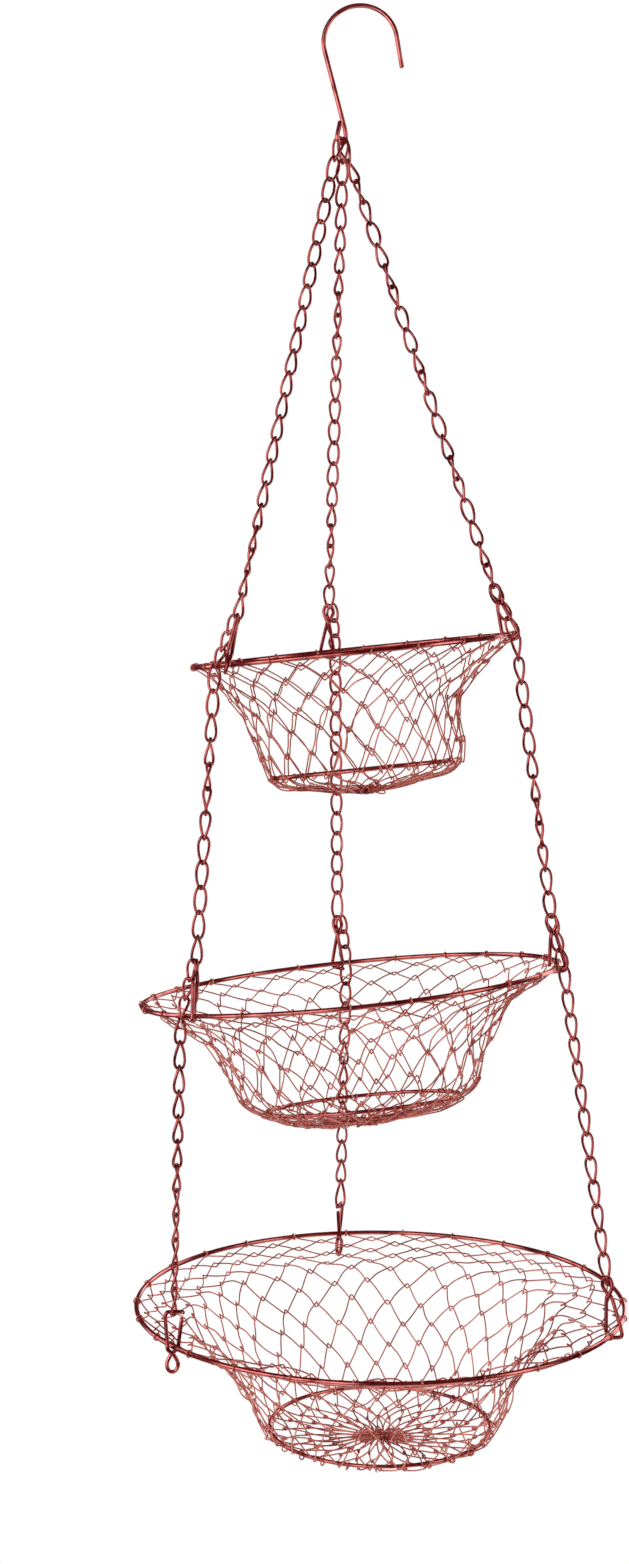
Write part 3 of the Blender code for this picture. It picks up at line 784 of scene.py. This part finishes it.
for index, (tierName, tier) in enumerate(tiers.items()):
    cells, leg = netShape["cells"][tierName], netShape["leg"]
    side, floor = Profile(tier["profile"]), Profile(tier["floor"])
    marks, floorMarks = netRows(side, cells, leg), netRows(floor, cells, leg)
    rowCount = len(marks) - 1
    lines = netLines(tier, side, cells, marks, 0)
    loose = [min(1.0, netShape["firstLoose"] + netShape["looser"] * j) for j in range(len(lines))]
    loose[-1] = netShape["lastLoose"]  # the last row is held by the base ring
    net = runRecipe(tierName + "NetWire", seedLines(tierName + "Net", lines, loose), netTree,
                    {"Seed": netShape["seed"] + index}, finishes["net_copper"])
    settle(net, tierName + "_basket", "net_copper", tierName + "_net")
    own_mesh(net)
    lines = netLines(tier, floor, cells, floorMarks, rowCount)
    loose = [netShape["floorLoose"]] * len(lines)
    floorNet = runRecipe(tierName + "FloorNet", seedLines(tierName + "Floor", lines, loose), netTree,
                         {"Seed": netShape["floorSeed"] + index}, finishes["net_copper"])
    settle(floorNet, tierName + "_base", "net_copper", tierName + "_centre_tie")
    print(tierName, "net woven:", rowCount, "rows,", len(net.data.polygons), "faces")


# small rings of net wire: round the rims, round the base rings and in the knot at each centre
wrapShape = {
    "rimRadius": 0.00170, "baseRadius": 0.0019, "baseDrop": 0.0007, "baseShift": 0.25,
    "jitter": 0.6, "tumble": 0.4, "slant": 0.3, "knotRings": 7, "knotRadius": 0.0024, "knotLift": 0.4,
    "knotSpread": 0.0011, "knotTumble": 0.9, "petals": 12, "petalReach": 0.0105, "petalWidth": 0.0034,
    "petalSwing": 9, "petalRise": (-0.25, 0.2), "petalTumble": 0.8, "petalLengths": (0.6, 1.15),
    "pinch": 0.25, "curl": 0.3, "seed": 11, "steps": 12, "sides": 5,
}


def makeWrapTree():
    # with an offset of 0 the ring is round about its point, with 1 it is a petal that starts there
    recipe = Recipe("wireWraps", {
        "Ring Radius": wrapShape["rimRadius"], "Stretch": 1.0, "Offset": 0.0, "Wire": wires["net"],
        "Steps": wrapShape["steps"], "Sides": wrapShape["sides"]})
    ring = recipe.add("GeometryNodeCurvePrimitiveCircle", Resolution=recipe.input("Steps"), Radius=1.0)
    parts = recipe.add("ShaderNodeSeparateXYZ", Vector=recipe.add("GeometryNodeInputPosition"))
    height = Signal(recipe.tree, parts.socket.node.outputs["Y"])
    radius, offset = recipe.input("Ring Radius"), recipe.input("Offset")
    narrow = 1.0 - (1.0 - parts) * offset * wrapShape["pinch"]
    x = (parts + offset) * radius * recipe.input("Stretch")
    z = parts * parts * radius * offset * wrapShape["curl"]
    curled = recipe.add("ShaderNodeCombineXYZ", X=x, Y=height * radius * narrow, Z=z)
    shaped = recipe.add("GeometryNodeSetPosition", Geometry=ring, Position=curled)
    section = recipe.add("GeometryNodeCurvePrimitiveCircle", Resolution=recipe.input("Sides"),
                         Radius=recipe.input("Wire") * 0.5)
    loop = recipe.add("GeometryNodeCurveToMesh", Curve=shaped, Profile_Curve=section)
    along = recipe.add("GeometryNodeInputNamedAttribute", {"data_type": "FLOAT_VECTOR"}, Name="along")
    flat = recipe.add("GeometryNodeInputNamedAttribute", {"data_type": "FLOAT_VECTOR"}, Name="flat")
    size = recipe.add("GeometryNodeInputNamedAttribute", {"data_type": "FLOAT_VECTOR"}, Name="size")
    facing = recipe.add("FunctionNodeAxesToRotation", {"primary_axis": "Z", "secondary_axis": "X"},
                        Primary_Axis=along, Secondary_Axis=flat)
    points = recipe.add("GeometryNodeMeshToPoints", Mesh=recipe.input("Geometry"))
    placed = recipe.add("GeometryNodeInstanceOnPoints", Points=points, Instance=loop, Rotation=facing,
                        Scale=size)
    return recipe.close(placed)


wrapTree = makeWrapTree()


def makeWraps(name, rows, radius, stretch, offset, body):
    seed = seedPoints(name, rows, ("along", "flat", "size"))
    values = {"Ring Radius": radius, "Stretch": stretch, "Offset": offset}
    return settle(runRecipe(name, seed, wrapTree, values, finishes["net_copper"]), body, "net_copper")


def wrapRow(at, along, flat, long=1):
    return {"at": at, "along": along, "flat": flat, "size": (long, 1, 1)}


def tumbled(direction, chance, amount):
    # a direction shaken by up to an amount each way
    return (direction + Vector([chance.uniform(-amount, amount) for _ in range(3)])).normalized()


def hoopWraps(tier, count, first, radius, depth, drop, chance):
    # one wrap for each cell of the net, round a rim or a base ring
    w, rows = wrapShape, []
    for k in range(count):
        azimuth = 360 * (k + first) / count + chance.uniform(-1, 1) * w["jitter"]
        here, ahead = (leaned(tier, polar(azimuth + turn) * radius, -depth) for turn in (0, 1))
        along = (ahead - here).normalized()
        flat = across(tier["up"] + polar(azimuth) * chance.uniform(-w["tumble"], w["tumble"]), along)
        along = (along + flat * chance.uniform(-w["slant"], w["slant"])).normalized()
        rows.append(wrapRow(here - tier["up"] * drop, along, across(flat, along)))
    return rows


def knotRings(tier, middle, chance):
    w, rows = wrapShape, []
    for k in range(w["knotRings"]):
        up = tumbled(tier["up"], chance, w["knotTumble"])
        slip = Vector([chance.uniform(-1, 1) * w["knotSpread"] for _ in range(3)])
        rows.append(wrapRow(middle + slip, up, across(polar(chance.uniform(0, 360)), up)))
    return rows


def petals(tier, middle, chance):
    # long loops that reach out from the knot to the net
    w, rows = wrapShape, []
    for k in range(w["petals"]):
        azimuth = 360 * k / w["petals"] + chance.uniform(-w["petalSwing"], w["petalSwing"])
        outward = (polar(azimuth) + tier["up"] * chance.uniform(*w["petalRise"])).normalized()
        side = tumbled(tier["up"], chance, w["petalTumble"])
        rows.append(wrapRow(middle, across(side, outward), outward, chance.uniform(*w["petalLengths"])))
    return rows


for index, (tierName, tier) in enumerate(tiers.items()):
    w, cells = wrapShape, netShape["cells"][tierName]
    chance = random.Random(w["seed"] + index)
    rows = hoopWraps(tier, cells, 0, tier["rim"], 0, 0, chance)
    makeWraps(tierName + "RimWraps", rows, w["rimRadius"], 1, 0.0, tierName + "_basket")
    rows = hoopWraps(tier, cells, w["baseShift"], tier["base"], tier["baseDepth"], w["baseDrop"], chance)
    makeWraps(tierName + "BaseWraps", rows, w["baseRadius"], 1, 0.0, tierName + "_base")
    middle = leaned(tier, Vector(), -tier["floor"][-1][1] + w["knotRadius"] * w["knotLift"])
    rows = knotRings(tier, middle, chance)
    makeWraps(tierName + "KnotRings", rows, w["knotRadius"], 1, 0.0, tierName + "_base")
    rows = petals(tier, middle, chance)
    stretch = w["petalReach"] / w["petalWidth"]
    makeWraps(tierName + "Petals", rows, w["petalWidth"] / 2, stretch, 1.0, tierName + "_base")
print("wraps and knots tied")


# studio
studio = {
    "frameRows": 1564.0, "focalRows": 2420.0, "horizonRow": 640.0,  # the lens, in rows of the frame
    "distance": 1.25, "cameraX": -0.0245, "cameraZ": -0.3266,
    "floorDepth": -1.5, "floorRadius": 0.9, "floorSides": 64, "floorGlow": 0.78, "floorRoughness": 0.8,
    "floorColour": (0.22, 0.23, 0.23), "floorLight": (1, 0.99, 0.985),
    # each softbox's azimuth, width and brightness
    "softboxes": ((-134, 2.1, 1.5), (-24, 0.7, 1.6), (52, 1.3, 1.6), (154, 0.7, 1.6)),
    "softboxTall": 1.7, "softboxDistance": 1.6, "softboxHeight": -0.25,
    "roomGlow": 0.14, "roomTint": (1.0, 0.28, 0.36),
}


def makeCamera(s):
    camera = bpy.data.cameras.new("studioCamera")
    camera.lens = s["focalRows"] * camera.sensor_width / s["frameRows"]
    camera.shift_y = (s["horizonRow"] - s["frameRows"] / 2) / s["frameRows"]
    eye = bpy.data.objects.new("studioCamera", camera)
    eye.location = (s["cameraX"], -s["distance"], s["cameraZ"])
    eye.rotation_euler = (math.radians(90), 0, 0)
    bpy.context.collection.objects.link(eye)
    bpy.context.scene.camera = eye


def makeFloor(s):
    mesh = bmesh.new()
    bmesh.ops.create_circle(mesh, cap_ends=True, segments=s["floorSides"], radius=s["floorRadius"])
    data = bpy.data.meshes.new("studioFloor")
    mesh.to_mesh(data)
    mesh.free()
    floor = bpy.data.objects.new("studioFloor", data)
    floor.location = (0, 0, s["floorDepth"])
    bpy.context.collection.objects.link(floor)
    pale = bpy.data.materials.new("paleFloor")
    pale.use_nodes = True
    sockets = pale.node_tree.nodes["Principled BSDF"].inputs
    sockets["Base Color"].default_value = (*s["floorColour"], 1)
    sockets["Roughness"].default_value = s["floorRoughness"]
    sockets["Emission Color"].default_value = (*s["floorLight"], 1)
    sockets["Emission Strength"].default_value = s["floorGlow"]
    data.materials.append(pale)


def makeSoftboxes(s):
    for azimuth, wide, brightness in s["softboxes"]:
        lamp = bpy.data.lights.new("softbox", "AREA")
        lamp.shape = "RECTANGLE"
        lamp.size, lamp.size_y = wide, s["softboxTall"]
        lamp.energy = brightness * math.pi * wide * s["softboxTall"]
        light = bpy.data.objects.new("softbox", lamp)
        light.location = polar(azimuth) * s["softboxDistance"] + Vector((0, 0, s["softboxHeight"]))
        light.rotation_euler = (-polar(azimuth)).to_track_quat("-Z", "Y").to_euler()
        light.visible_camera = False
        bpy.context.collection.objects.link(light)


def makeRoom(s):
    # white to the camera, dim and reddish to the copper, as a workshop's own surfaces would be
    world = bpy.data.worlds.new("studioWorld")
    world.use_nodes = True
    bench = Bench(world.node_tree)
    seen = bench.add("ShaderNodeLightPath", out="Is Camera Ray")
    room = world.node_tree.nodes["Background"]
    plug(bench.tree, room.inputs["Color"], mixColours(bench, seen, (*s["roomTint"], 1), (1, 1, 1, 1)))
    plug(bench.tree, room.inputs["Strength"], seen * (1 - s["roomGlow"]) + s["roomGlow"])
    bpy.context.scene.world = world
    bpy.context.scene.view_settings.view_transform = "Standard"


makeCamera(studio)
makeFloor(studio)
makeSoftboxes(studio)
makeRoom(studio)
print("studio lit")
